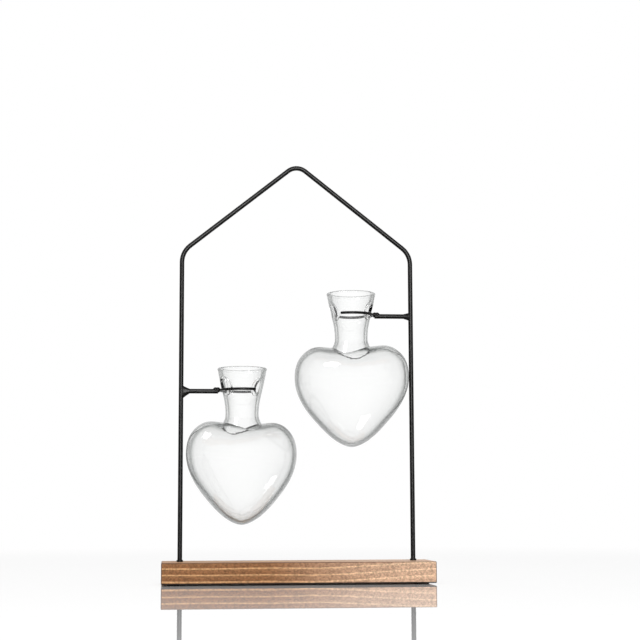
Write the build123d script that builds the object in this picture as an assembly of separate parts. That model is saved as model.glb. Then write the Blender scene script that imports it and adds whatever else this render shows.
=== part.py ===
import os
from math import asin, cos, degrees, radians, sqrt

from build123d import *

# All lengths are in millimetres. X runs along the wooden bar, Y away from the viewer, Z up,
# and the origin lies on the table under the middle of the bar.

# Wooden bar
base_depth = 50
base_thickness = 15.5
base_edge_radius = 0.7
leg_inset = 13.5

# Pads under the bar
pad_diameter = 9
pad_thickness = 1
pad_inset = 9

# Bent rod that makes the legs and the roof
rod_diameter = 3.5
eave_height = 230.5
ridge_height = 299
eave_bend_radius = 16
ridge_bend_radius = 10.5
collar_diameter = 4.8
collar_height = 1.5
collar_edge_radius = 0.4

# Threaded tail of each leg, with the washer and the nut that hold it
tail_diameter = 3
tail_clearance = 0.3
counterbore_diameter = 9
counterbore_depth = 5
washer_diameter = 7
washer_thickness = 0.5
nut_width = 5.5
nut_height = 2.4
nut_chamfer = 0.35
tail_beyond_nut = 0.6

# Arms and open rings. The legs stand just wide enough apart for two vases to hang square.
vase_spacing = 82.2
vase_leg_gap = 0.15
left_ring_height = 126.3
right_ring_height = 183.6
ring_wire_diameter = 2
ring_seat_clearance = 0.3
passing_clearance = 0.3
tip_round = 0.7

# Weld fillets between leg and arm: above the arm, below it, and along it
left_weld_rise = 4.6
left_weld_drop = 6
left_weld_run = 4.4
right_weld_rise = 3.1
right_weld_drop = 3.5
right_weld_run = 3.4
weld_skin = 0.2
weld_bite = 0.6
weld_middle_run_share = 0.33
weld_middle_height_share = 0.5

# Weld knobs between arm and ring, with the root gap that they fill
knob_radius = 2
knob_pitch = 1.8
knob_setback = 0.6
weld_root = 0.5

# Glass vase, measured from the ring that carries it
glass_wall = 1.8
lip_diameter = 37
lip_height = 16.6
lip_bead = 2.3
seat_diameter = 30.2
waist_diameter = 24.7
waist_drop = 18.5
flare_diameter = 36
flare_drop = 33.2
heart_width = 87
heart_thickness = 54
heart_middle_drop = 47
heart_shoulder_height = 23.2
heart_point_depth = 52.5

# Two holes for a hanging cord, through the neck on the heart's sides, each with a thickened rim
hole_diameter = 9.6
hole_rise = 3
hole_rim_diameter = 14
hole_rim_wall = 2.8
hole_edge_radius = 0.8

# How far each vase is turned from square, with the hole beside its arm towards the viewer
left_vase_turn_degrees = 22
right_vase_turn_degrees = 18

# Heart outline at stations from the middle to the side: place along the half width, height of
# the top edge as a share of the shoulder's, and depth of the lower edge as a share of the point's
heart_station_shares = [
    (0.0, 0.93, 1.0),
    (0.259, 0.965, 0.92),
    (0.5, 1.0, 0.752),
    (0.707, 0.955, 0.564),
    (0.866, 0.745, 0.381),
    (0.94, 0.55, 0.257),
    (0.985, 0.285, 0.138),
]

# Neck outline from lip to seat, seat to waist and waist to flare: how far down, how far across
neck_upper_shares = [(0.5, 0.46)]
neck_middle_shares = [(0.45, 0.7), (0.72, 0.94)]
neck_lower_shares = [(0.15, 0.04), (0.32, 0.22), (0.6, 0.56)]

overrun = 5

rod_radius = rod_diameter / 2
ring_reach = heart_width / 2 + vase_leg_gap + rod_radius
leg_spacing = vase_spacing + 2 * ring_reach
base_length = leg_spacing + 2 * leg_inset
base_top = pad_thickness + base_thickness
wire_radius = ring_wire_diameter / 2
bead_height = lip_height - lip_bead / 2
neck_top_radius = lip_diameter / 2 - (lip_bead - glass_wall) / 2
neck_slope = (neck_top_radius - seat_diameter / 2) / bead_height
seat_stand_off = (wire_radius + ring_seat_clearance) * sqrt(1 + neck_slope**2)
ring_radius = seat_diameter / 2 + seat_stand_off
ring_rise = rod_radius - wire_radius
ring_back = ring_reach - ring_radius - wire_radius
arm_length = ring_back - weld_root - rod_radius
left_leg_x = -leg_spacing / 2
right_leg_x = leg_spacing / 2
left_ring_z = base_top + left_ring_height
right_ring_z = base_top + right_ring_height


def upright(diameter, height):
    """A round bar that stands on the local origin."""
    return Cylinder(diameter / 2, height, align=(Align.CENTER, Align.CENTER, Align.MIN))


def wood_base():
    """A planed pine bar with eased edges, a hole for each leg's tail and a counterbore under it."""
    bar = Box(base_length, base_depth, base_thickness)
    bar = Pos(Z=pad_thickness + base_thickness / 2) * fillet(bar.edges(), base_edge_radius)
    for x in (left_leg_x, right_leg_x):
        hole = upright(tail_diameter + tail_clearance, base_thickness + 2 * overrun)
        pocket = upright(counterbore_diameter, counterbore_depth + overrun)
        bar -= Pos(x, 0, pad_thickness - overrun) * hole
        bar -= Pos(x, 0, pad_thickness - overrun) * pocket
    return bar


def house_frame():
    """One rod bent at two eaves and a ridge, with an upset collar and a turned tail on each leg."""
    foot = base_top + collar_height
    corners = [
        (left_leg_x, 0, foot),
        (left_leg_x, 0, base_top + eave_height),
        (0, 0, base_top + ridge_height),
        (right_leg_x, 0, base_top + eave_height),
        (right_leg_x, 0, foot),
    ]
    path = FilletPolyline(*corners, radius=[eave_bend_radius, ridge_bend_radius, eave_bend_radius])
    frame = sweep(Plane(corners[0], z_dir=(0, 0, 1)) * Circle(rod_radius), path=path)
    nut_face = pad_thickness + counterbore_depth - washer_thickness - nut_height
    tail_end = nut_face - tail_beyond_nut
    for x in (left_leg_x, right_leg_x):
        collar = Pos(x, 0, base_top) * upright(collar_diameter, collar_height)
        collar = fillet(collar.edges().group_by(Axis.Z)[-1], collar_edge_radius)
        tail = Pos(x, 0, tail_end) * upright(tail_diameter, base_top - tail_end)
        frame += [collar, tail]
    return frame


def leg_washer(leg_x):
    """A flat washer against the roof of the counterbore."""
    disc = upright(washer_diameter, washer_thickness)
    disc -= upright(tail_diameter + tail_clearance, washer_thickness)
    return Pos(leg_x, 0, pad_thickness + counterbore_depth - washer_thickness) * disc


def leg_nut(leg_x):
    """A hexagon nut under the washer, its corners turned off on both faces."""
    across_corners = nut_width / cos(radians(30))
    hexagon = extrude(RegularPolygon(nut_width / 2, 6, major_radius=False), nut_height)
    blank = upright(across_corners, nut_height)
    blank = chamfer(blank.edges().filter_by(GeomType.CIRCLE), nut_chamfer)
    nut = (hexagon & blank) - upright(tail_diameter, nut_height)
    return Pos(leg_x, 0, pad_thickness + counterbore_depth - washer_thickness - nut_height) * nut


def pad(side_x, side_y):
    """A self-adhesive disc near a corner of the bar."""
    x = side_x * (base_length / 2 - pad_inset)
    y = side_y * (base_depth / 2 - pad_inset)
    return Pos(x, y) * upright(pad_diameter, pad_thickness)


def arm():
    """A square-cut rod. The leg's axis is the local origin and the arm runs along +X."""
    rod = Cylinder(rod_radius, arm_length, rotation=(0, 90, 0))
    return Pos(X=rod_radius + arm_length / 2) * rod


def ring():
    """A wire bent to an open ring with rounded tips, its gap just wider than the vase's waist."""
    tip_spacing = waist_diameter + passing_clearance + ring_wire_diameter
    half_gap = degrees(asin(tip_spacing / 2 / ring_radius))
    wire = Torus(ring_radius, wire_radius, major_angle=360 - 2 * half_gap, align=None)
    wire = Rot(Z=half_gap) * wire
    tip_edges = [face.edges() for face in wire.faces().filter_by(GeomType.PLANE)]
    wire = fillet([edge for edges in tip_edges for edge in edges], tip_round)
    return Pos(ring_reach, 0, ring_rise) * wire


def arm_weld(rise, drop, run):
    """A fillet that spreads up and down the leg and tapers along the arm."""
    root_height = (rise + drop) / 2
    skin_radius = rod_radius + weld_skin
    middle_x = rod_radius + weld_middle_run_share * run
    middle_height = rod_radius + weld_middle_height_share * (root_height - rod_radius)
    sections = [
        (weld_bite, rod_radius, root_height, 1),
        (middle_x, skin_radius, middle_height, weld_middle_height_share),
        (rod_radius + run, skin_radius, skin_radius, 0),
    ]
    outlines = []
    for x, half_width, half_height, lean_share in sections:
        centre = Plane((x, 0, lean_share * (rise - drop) / 2), x_dir=(0, 1, 0), z_dir=(1, 0, 0))
        outlines.append(centre * Ellipse(half_width, half_height))
    leg = Cylinder(rod_radius, 2 * (rise + drop) + overrun)
    return loft(outlines) - leg - arm()


def ring_weld():
    """Two run-together drops of weld on top of the arm's end, over the back of the ring."""
    first = Pos(ring_back - knob_setback, 0, knob_radius / 2)
    drops = [first * Pos(X=-step * knob_pitch) * Sphere(knob_radius) for step in (0, 1)]
    return (drops[0] + drops[1]) - arm() - ring()


def heart_body(half_width, half_depth, shoulder, point):
    """A puffy heart lofted from side to side through egg-shaped sections."""
    sections = []
    for place, top, bottom in heart_station_shares:
        half_round = half_depth * sqrt(1 - place**2)
        stations = [place] if place == 0 else [-place, place]
        for station in stations:
            plane = Plane((station * half_width, 0, 0), x_dir=(0, 1, 0), z_dir=(1, 0, 0))
            upper = EllipticalCenterArc((0, 0), half_round, top * shoulder, arc_size=180)
            lower = EllipticalCenterArc((0, 0), half_round, bottom * point, 180, arc_size=180)
            sections.append((station, plane * make_face(Wire([upper, lower]))))
    ordered = [face for station, face in sorted(sections, key=lambda item: item[0])]
    ends = [Vertex(-half_width, 0, 0), Vertex(half_width, 0, 0)]
    return Pos(Z=-heart_middle_drop) * loft([ends[0], *ordered, ends[1]])


def neck_body(inset):
    """The turned neck, from its lip through seat and waist to the flare that joins the heart."""
    rings = [
        (neck_top_radius - inset, bead_height),
        (seat_diameter / 2 - inset, 0),
        (waist_diameter / 2 - inset, -waist_drop),
        (flare_diameter / 2 - inset, -flare_drop),
    ]
    tables = [neck_upper_shares, neck_middle_shares, neck_lower_shares]
    points = [rings[0]]
    for (radius, height), (next_radius, next_height), shares in zip(rings, rings[1:], tables):
        for down, across in [*shares, (1, 1)]:
            here = (radius + across * (next_radius - radius), height + down * (next_height - height))
            points.append(here)
    side = Spline(*points)
    closing = Polyline(side @ 1, (0, -flare_drop), (0, bead_height), side @ 0)
    return revolve(Plane.XZ * make_face([side, *closing.edges()]), Axis.Z)


def hole_rims():
    """The two hanging holes' rims, gathered inwards so that the neck's outside stays smooth."""
    wall = neck_body(0) - neck_body(hole_rim_wall)
    across = Cylinder(hole_rim_diameter / 2, lip_diameter + overrun, rotation=(0, 90, 0))
    return wall & Pos(Z=hole_rise) * across


def vase():
    """Blown glass of even wall: heart and neck are one shell, its lip melted to a round bead."""
    half_width = heart_width / 2
    half_depth = heart_thickness / 2
    outside = heart_body(half_width, half_depth, heart_shoulder_height, heart_point_depth)
    inside = heart_body(
        half_width - glass_wall,
        half_depth - glass_wall,
        heart_shoulder_height - glass_wall,
        heart_point_depth - glass_wall,
    )
    glass = (outside + neck_body(0)) - (inside + neck_body(glass_wall))
    glass += hole_rims()
    bore = Cylinder(hole_diameter / 2, lip_diameter + overrun, rotation=(0, 90, 0))
    holed = glass - Pos(Z=hole_rise) * bore
    melted_edges = new_edges(glass, Pos(Z=hole_rise) * bore, combined=holed)
    holed = fillet(melted_edges.filter_by(GeomType.LINE, reverse=True), hole_edge_radius)
    return holed + Pos(Z=bead_height) * Torus((lip_diameter - lip_bead) / 2, lip_bead / 2)


def hanging(ring_x, ring_z, turn_degrees):
    """A vase in its ring, turned about its neck."""
    return Pos(ring_x, 0, ring_z) * Rot(Z=turn_degrees) * vase()


def left(local, height):
    """Puts a piece that is drawn from a leg's axis onto the left leg."""
    return Pos(left_leg_x, 0, height) * local


def right(local, height):
    """Mirrors a piece that is drawn from a leg's axis onto the right leg."""
    return Pos(right_leg_x, 0, height) * local.mirror(Plane.YZ)


left_arm_z = left_ring_z - ring_rise
right_arm_z = right_ring_z - ring_rise

parts = {
    "wood_base": wood_base(),
    "house_frame": house_frame(),
    "left_leg_washer": leg_washer(left_leg_x),
    "right_leg_washer": leg_washer(right_leg_x),
    "left_leg_nut": leg_nut(left_leg_x),
    "right_leg_nut": leg_nut(right_leg_x),
    "front_left_pad": pad(-1, -1),
    "front_right_pad": pad(1, -1),
    "back_left_pad": pad(-1, 1),
    "back_right_pad": pad(1, 1),
    "left_arm": left(arm(), left_arm_z),
    "right_arm": right(arm(), right_arm_z),
    "left_ring": left(ring(), left_arm_z),
    "right_ring": right(ring(), right_arm_z),
    "left_arm_weld": left(arm_weld(left_weld_rise, left_weld_drop, left_weld_run), left_arm_z),
    "right_arm_weld": right(arm_weld(right_weld_rise, right_weld_drop, right_weld_run), right_arm_z),
    "left_ring_weld": left(ring_weld(), left_arm_z),
    "right_ring_weld": right(ring_weld(), right_arm_z),
    "left_vase": hanging(left_leg_x + ring_reach, left_ring_z, left_vase_turn_degrees),
    "right_vase": hanging(right_leg_x - ring_reach, right_ring_z, -right_vase_turn_degrees),
}

os.makedirs("parts", exist_ok=True)
for name, shape in parts.items():
    export_step(shape, f"parts/{name}.step")
    print(name, len(shape.solids()), round(shape.volume, 2))
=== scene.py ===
from math import pi

import bpy
from mathutils import Matrix, Vector


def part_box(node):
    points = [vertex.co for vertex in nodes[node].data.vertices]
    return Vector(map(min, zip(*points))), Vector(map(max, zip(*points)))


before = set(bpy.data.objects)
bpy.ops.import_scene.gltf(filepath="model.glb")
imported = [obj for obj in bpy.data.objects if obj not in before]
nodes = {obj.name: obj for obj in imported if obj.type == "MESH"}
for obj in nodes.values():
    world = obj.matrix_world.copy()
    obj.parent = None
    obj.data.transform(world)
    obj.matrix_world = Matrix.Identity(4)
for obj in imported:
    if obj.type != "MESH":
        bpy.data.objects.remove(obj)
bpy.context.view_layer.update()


# Wooden bar. A planed pine bar that carries everything, scorched brown and waxed, so that the
# hard growth lines stay pale. It was sawn flat, with the heart of the trunk well below it.

class Signal:
    """A shader socket. Arithmetic on it adds the Math nodes that work out the result."""

    def __init__(self, socket):
        self.socket = socket

    def node(self, kind, settings=None, sockets=None, output=0):
        """Adds a node to the same tree: its settings first, then its sockets' values or links."""
        made = self.socket.id_data.nodes.new(kind)
        settings = dict(settings or {})
        stops = settings.pop("stops", None)
        for name, value in settings.items():
            setattr(made, name, value)
        if stops:
            elements = made.color_ramp.elements
            while len(elements) < len(stops):
                elements.new(1)
            for element, (position, colour) in zip(elements, stops):
                element.position = position
                element.color = (*colour, 1)
        connect(made, sockets or {})
        return Signal(made.outputs[output])

    def pick(self, output):
        """Another output of the node that this one comes from."""
        return Signal(self.socket.node.outputs[output])

    def maths(self, operation, *others):
        return self.node("ShaderNodeMath", {"operation": operation}, dict(enumerate([self, *others])))

    def __add__(self, other):
        return self.maths("ADD", other)

    def __radd__(self, other):
        return self.maths("ADD", other)

    def __sub__(self, other):
        return self.maths("SUBTRACT", other)

    def __rsub__(self, other):
        return self.maths("MULTIPLY_ADD", -1, other)

    def __mul__(self, other):
        return self.maths("MULTIPLY", other)

    def __rmul__(self, other):
        return self.maths("MULTIPLY", other)

    def __truediv__(self, other):
        return self.maths("DIVIDE", other)

    def __abs__(self):
        return self.maths("ABSOLUTE")

    def rise(self, low, high):
        """Goes smoothly from 0 to 1 while the value goes from low to high."""
        settings = {"interpolation_type": "SMOOTHSTEP"}
        return self.node("ShaderNodeMapRange", settings, {"Value": self, "From Min": low, "From Max": high})

    def length(self):
        """How far the place is from the origin."""
        return self.node("ShaderNodeVectorMath", {"operation": "LENGTH"}, {0: self}, "Value")

    def stretched(self, x, y, z):
        """The place with each axis multiplied, for patterns that run along one of them."""
        return self.node("ShaderNodeVectorMath", {"operation": "MULTIPLY"}, {0: self, 1: (x, y, z)})

    def noise(self, scale, detail=2.0, roughness=0.5):
        """Even noise between 0 and 1, with so many swings in a metre."""
        sockets = {"Vector": self, "Scale": scale, "Detail": detail, "Roughness": roughness}
        return self.node("ShaderNodeTexNoise", None, sockets)

    def blend(self, first, second):
        """A colour that goes from first to second as this value goes from 0 to 1."""
        sockets = {"Factor": self, "A": first, "B": second}
        return self.node("ShaderNodeMix", {"data_type": "RGBA"}, sockets, "Result")

    def relief(self, height, strength=1.0):
        """A bumped normal; the value is the height as a share of the given height in metres."""
        sockets = {"Height": self, "Distance": height, "Strength": strength}
        return self.node("ShaderNodeBump", None, sockets)


def connect(node, sockets):
    """Sets a node's sockets to values, or links them to signals."""
    for name, value in sockets.items():
        if isinstance(name, str):
            socket = [one for one in node.inputs if one.enabled and one.name == name][0]
        else:
            socket = node.inputs[name]
        if isinstance(value, Signal):
            node.id_data.links.new(value.socket, socket)
        elif isinstance(value, tuple) and len(value) == 3 and socket.type == "RGBA":
            socket.default_value = (*value, 1)
        else:
            socket.default_value = value


def new_finish(name):
    """A material with one surface node; returns it, its surface and the place on the object in metres."""
    made = bpy.data.materials.new(name)
    made.use_nodes = True
    surface = made.node_tree.nodes["Principled BSDF"]
    place = Signal(made.node_tree.nodes.new("ShaderNodeTexCoord").outputs["Object"])
    return made, surface, place


def give(finish, *names, crease=0.6):
    """Puts a finish in the material slots of CAD nodes and lets their curved faces shade smoothly."""
    for name in names:
        piece = nodes[name]
        if not piece.material_slots:
            piece.data.materials.append(None)
        for slot in piece.material_slots:
            slot.material = finish
        piece.data.shade_smooth()
        piece.data.set_sharp_from_angle(angle=crease)


def pine():
    scorched = (0.222, 0.094, 0.036)
    growth_line = (0.620, 0.358, 0.170)
    pale_end_ground = (0.590, 0.385, 0.265)
    pale_end_line = (0.860, 0.610, 0.410)
    burnt_edge = (0.085, 0.038, 0.020)
    painted_gap_shade = (0.012, 0.005, 0.003)
    most_paleness = 0.92
    heart_drop = 0.0560
    ring_pitch = 0.0045
    ring_shift = 0.275
    rise_at_the_end = 0.0040
    drift_width = 0.0024
    ripple_width = 0.0011
    darkness_over_a_ring = ((0.0, 0.10), (0.10, 0.0), (0.68, 0.14), (0.82, 0.85), (0.88, 1.0), (0.96, 0.14))
    arris = 0.0009
    gap_shade_height = 0.0010
    pore_depth = 0.00012
    least_edge_burn = 0.45
    patchy_edge_burn = 0.5
    end_burn = 0.35
    finish, surface, place = new_finish("scorched_pine")
    low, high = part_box("wood_base")
    half_height = (high.z - low.z) / 2
    along = place.node("ShaderNodeSeparateXYZ", None, {"Vector": place})
    across, above = along.pick("Y"), along.pick("Z")

    drift = place.stretched(9, 30, 30).noise(1, detail=1.5)
    ripple = place.stretched(28, 90, 90).noise(1, detail=3)
    radius = place.node("ShaderNodeCombineXYZ", None, {"X": across, "Y": above + heart_drop}).length()
    fall = along.rise(0.0, high.x * 1.2) * rise_at_the_end
    rings = (radius - fall + drift_width * drift + ripple_width * ripple) / ring_pitch + ring_shift
    phase = rings.maths("FRACT")
    stops = [(at, (level, level, level)) for at, level in darkness_over_a_ring]
    line = phase.node("ShaderNodeValToRGB", {"stops": stops}, {"Fac": phase})

    fibre = place.stretched(60, 1500, 1500).noise(1, detail=4, roughness=0.65)
    speckle = place.stretched(700, 900, 900).noise(1, detail=2, roughness=0.8).rise(0.28, 0.72)
    patches = place.stretched(16, 90, 90).noise(1, detail=2)
    # The bar's colour turns paler towards its +X end.
    paleness = (along + 0.03 * patches).rise(low.x * 0.20, high.x * 1.10) * most_paleness
    ground = paleness.blend(scorched, pale_end_ground)
    colour = line.blend(ground, paleness.blend(growth_line, pale_end_line))
    shade = 0.31 + 0.30 * fibre + 0.80 * speckle + 0.26 * patches
    colour = colour.node("ShaderNodeVectorMath", {"operation": "SCALE"}, {0: colour, "Scale": shade})

    def near(distance, reach):
        return abs(distance).rise(reach - arris, reach - arris * 0.4)

    near_end = near(along, high.x)
    near_side = near(across, high.y)
    near_top = near(above - (low.z + half_height), half_height)
    edge = (near_end * near_side).maths("MAXIMUM", near_side * near_top).maths("MAXIMUM", near_top * near_end)
    colour = (edge * (least_edge_burn + patchy_edge_burn * patches)).blend(colour, burnt_edge)
    colour = (near_end * end_burn).blend(colour, burnt_edge)
    # Painted shade: the lowest millimetre of the front and back faces, and the underside next to them, is
    # darkened nearly to black for the shadow in the gap under the bar.
    painted_foot_shade = (low.z + gap_shade_height - above).rise(0.0, arris * 0.3) * near_side
    colour = painted_foot_shade.blend(colour, painted_gap_shade)
    grain = 0.55 * fibre + 0.35 * speckle + 0.35 * line
    connect(surface, {
        "Base Color": colour,
        "Roughness": 0.42 + 0.2 * fibre,
        "Specular IOR Level": 0.35,
        "Normal": grain.relief(pore_depth, 0.6),
    })
    return finish


give(pine(), "wood_base")


# Pads. Four self-adhesive discs of black foam rubber under the corners of the bar, which leave
# the thin dark gap between wood and table.

def foam_rubber():
    cell_wall = (0.050, 0.048, 0.046)
    shaded_cell_hollow = (0.020, 0.019, 0.018)
    cells_per_metre = 4200
    cell_depth = 0.00008
    finish, surface, place = new_finish("foam_rubber")
    cells = place.noise(cells_per_metre, detail=2)
    # Painted shade: the cell hollows are coloured darker than the cell walls, for the shade in the pores.
    connect(surface, {
        "Base Color": cells.blend(shaded_cell_hollow, cell_wall),
        "Roughness": 0.82 + 0.12 * cells,
        "Normal": cells.relief(cell_depth, 0.7),
    })
    return finish


give(foam_rubber(), "front_left_pad", "front_right_pad", "back_left_pad", "back_right_pad")


# House frame, arms and rings. Mild steel rod and wire, bent cold and dipped in satin black paint,
# which keeps a faint unevenness of the drawn steel under it.

def black_paint(name, lump_height, lumps_per_metre):
    black = (0.005, 0.0048, 0.0046)
    dusty_black = (0.014, 0.0133, 0.0127)
    peel_per_metre = 1400
    dust_per_metre = 420
    finish, surface, place = new_finish(name)
    lumps = place.noise(lumps_per_metre, detail=2)
    peel = place.noise(peel_per_metre, detail=2)
    dust = place.noise(dust_per_metre, detail=4, roughness=0.7)
    connect(surface, {
        "Base Color": dust.rise(0.45, 0.85).blend(black, dusty_black),
        "Roughness": 0.20 + 0.14 * dust,
        "Specular IOR Level": 0.08,
        "Normal": (lumps + 0.06 * peel).relief(lump_height, 0.5),
    })
    return finish


rods = ("house_frame", "left_arm", "right_arm", "left_ring", "right_ring")
give(black_paint("satin_black_paint", lump_height=0.00010, lumps_per_metre=160), *rods)


# Weld fillets and knobs. Each joint is run over once with filler rod before painting, so the paint
# follows small ripples.

welds = ("left_arm_weld", "right_arm_weld", "left_ring_weld", "right_ring_weld")
give(black_paint("paint_over_weld", lump_height=0.00040, lumps_per_metre=620), *welds, crease=1.2)


# Leg washers and nuts. Bright zinc-plated steel. Each nut is turned up the threaded tail of a leg,
# inside the counterbore, and pulls the frame down on the bar.

def zinc_plate():
    bluish = (0.58, 0.59, 0.60)
    yellowish = (0.70, 0.70, 0.67)
    brush_depth = 0.00002
    finish, surface, place = new_finish("zinc_plate")
    brushed = place.stretched(900, 900, 5200).noise(1, detail=3)
    bloom = place.noise(700, detail=2)
    connect(surface, {
        "Base Color": bloom.blend(bluish, yellowish),
        "Metallic": 1.0,
        "Roughness": 0.24 + 0.22 * brushed,
        "Normal": brushed.relief(brush_depth, 0.5),
    })
    return finish


give(zinc_plate(), "left_leg_washer", "right_leg_washer", "left_leg_nut", "right_leg_nut")


# Vases. Clear soda-lime glass, blown in a heart-shaped mould and opened into a flared neck, with a
# melted lip and two melted hanging holes. Each hangs loosely in its open ring.

def end_with(finish, shader):
    """Makes a shader the last word of a material, in place of its plain surface."""
    tree = finish.node_tree
    tree.links.new(shader.socket, tree.nodes["Material Output"].inputs["Surface"])


def blown_glass():
    body_tint = (0.995, 0.998, 0.996)
    painted_edge_shade = (0.17, 0.18, 0.175)
    shadow_tint = (0.93, 0.94, 0.935)
    sag_depth = 0.00015
    sags_per_metre = 45
    edge_start, edge_full = 0.43, 0.73
    painted_wall_shade = 0.70
    wall_falloff = 1.35
    finish, surface, place = new_finish("blown_glass")
    sag = place.noise(sags_per_metre, detail=1.5)
    # Painted shade: the glass greys towards its edges and where its walls tilt away. This stands in for the
    # darker room seen in them at a slant, and partly for the longer path through the tinted glass.
    facing = place.node("ShaderNodeLayerWeight", None, {"Blend": 0.5}, "Facing")
    edge = facing.rise(edge_start, edge_full)
    painted_glass_shade = (painted_wall_shade * facing.maths("POWER", wall_falloff) + edge).maths("MINIMUM", 1.0)
    connect(surface, {
        "Base Color": painted_glass_shade.blend(body_tint, painted_edge_shade),
        "Roughness": 0.0,
        "IOR": 1.5,
        "Transmission Weight": 1.0,
        "Normal": sag.relief(sag_depth, 1.0),
    })
    shadow_ray = place.node("ShaderNodeLightPath", output="Is Shadow Ray")
    clear = place.node("ShaderNodeBsdfTransparent", None, {"Color": shadow_tint})
    glass = Signal(surface.outputs["BSDF"])
    end_with(finish, place.node("ShaderNodeMixShader", None, {0: shadow_ray, 1: glass, 2: clear}))
    return finish


give(blown_glass(), "left_vase", "right_vase", crease=0.9)


# Table and room. A glossy white table, which mirrors the stand at a low angle and runs on into
# the white of the room.

def seen_directly(tree):
    """1 for rays that show things to the camera, also in gloss or through glass, and 0 for the rest."""
    camera_ray = Signal(tree.nodes.new("ShaderNodeLightPath").outputs["Is Camera Ray"])
    shown = camera_ray + camera_ray.pick("Is Glossy Ray") + camera_ray.pick("Is Transmission Ray")
    return shown.maths("MINIMUM", 1.0)


def table_top():
    lacquer_white = (0.94, 0.94, 0.94)
    table_reach = 0.55
    sweep_reach = 1.30
    finish, surface, place = new_finish("glossy_white_table")
    connect(surface, {
        "Base Color": lacquer_white,
        "Roughness": 0.0,
        "IOR": 1.5,
        "Coat Weight": 0.25,
        "Coat Roughness": 0.0,
    })
    sweep = place.length().rise(table_reach, sweep_reach) * seen_directly(finish.node_tree)
    lacquer = Signal(surface.outputs["BSDF"])
    white = place.node("ShaderNodeEmission")
    end_with(finish, place.node("ShaderNodeMixShader", None, {0: sweep, 1: lacquer, 2: white}))
    return finish


half_table = 15.0
table_corners = [(-half_table, -half_table, 0), (half_table, -half_table, 0),
                 (half_table, half_table, 0), (-half_table, half_table, 0)]
table_mesh = bpy.data.meshes.new("table_top")
table_mesh.from_pydata(table_corners, [], [(0, 1, 2, 3)])
table = bpy.data.objects.new("table_top", table_mesh)
table.data.materials.append(table_top())
bpy.context.scene.collection.objects.link(table)

plain_level = 0.30
world = bpy.data.worlds.new("white_room")
world.use_nodes = True
bpy.context.scene.world = world
brightness = seen_directly(world.node_tree) * (1 - plain_level) + plain_level
connect(world.node_tree.nodes["Background"], {"Color": (1, 1, 1), "Strength": brightness})


# Lamps. Two soft boxes, before and above the stand, give the plain light. A strip light for the painted steel
# and a window lamp only show in gloss.

stand_middle = Vector((0, 0, 0.16))


def soft_lamp(name, place, width, height, radiance):
    """A lamp that lights the pieces and the table, and isn't seen in their gloss."""
    light = bpy.data.lights.new(name, "AREA")
    light.shape = "RECTANGLE"
    light.size = width
    light.size_y = height
    light.energy = radiance * pi * width * height
    lamp = bpy.data.objects.new(name, light)
    lamp.location = place
    lamp.rotation_euler = (stand_middle - Vector(place)).to_track_quat("-Z", "Y").to_euler()
    lamp.visible_camera = False
    lamp.visible_glossy = False
    lamp.visible_transmission = False
    bpy.context.scene.collection.objects.link(lamp)
    return lamp


def glint_lamp(name, place, width, height, radiance, pieces=()):
    """A lamp that only shows in gloss: in that of the named pieces, or of all where none is named."""
    lamp = soft_lamp(name, place, width, height, radiance)
    lamp.visible_diffuse = False
    lamp.visible_glossy = True
    lamp.visible_transmission = True
    if pieces:
        shown_in = bpy.data.collections.new(name + "_pieces")
        for piece in pieces:
            shown_in.objects.link(nodes[piece])
        lamp.light_linking.receiver_collection = shown_in


soft_lamp("front_lamp", place=(0.10, -1.9, 0.7), width=0.60, height=1.2, radiance=9.3)
soft_lamp("top_lamp", place=(-0.2, -0.3, 1.9), width=1.2, height=1.2, radiance=5)
glint_lamp("rod_stripe_lamp", place=(0.05, -1.9, 0.45), width=0.70, height=1.3, radiance=32,
           pieces=rods + welds)
glint_lamp("window_lamp", place=(-1.1, -0.8, 1.7), width=0.55, height=0.7, radiance=9)


# Camera. It stands over a metre before the stand, a little to the left and low over the table,
# and looks slightly up.

view_place = (-0.0937, -1.1451, 0.0534)
view_yaw = 0.0968
view_pitch = 0.1235
view_roll = -0.0035
focal_pixels = 1536.7
photo_width = 640
camera_data = bpy.data.cameras.new("photo_camera")
camera_data.sensor_width = 36
camera_data.lens = focal_pixels * camera_data.sensor_width / photo_width
camera_data.clip_start = 0.01
camera = bpy.data.objects.new("photo_camera", camera_data)
bpy.context.scene.collection.objects.link(camera)
turned = Matrix.Rotation(-view_yaw, 4, "Z")
tipped = Matrix.Rotation(pi / 2 + view_pitch, 4, "X")
rolled = Matrix.Rotation(view_roll, 4, "Z")
camera.matrix_world = Matrix.Translation(view_place) @ turned @ tipped @ rolled
bpy.context.scene.camera = camera
bpy.context.scene.view_settings.view_transform = "Standard"
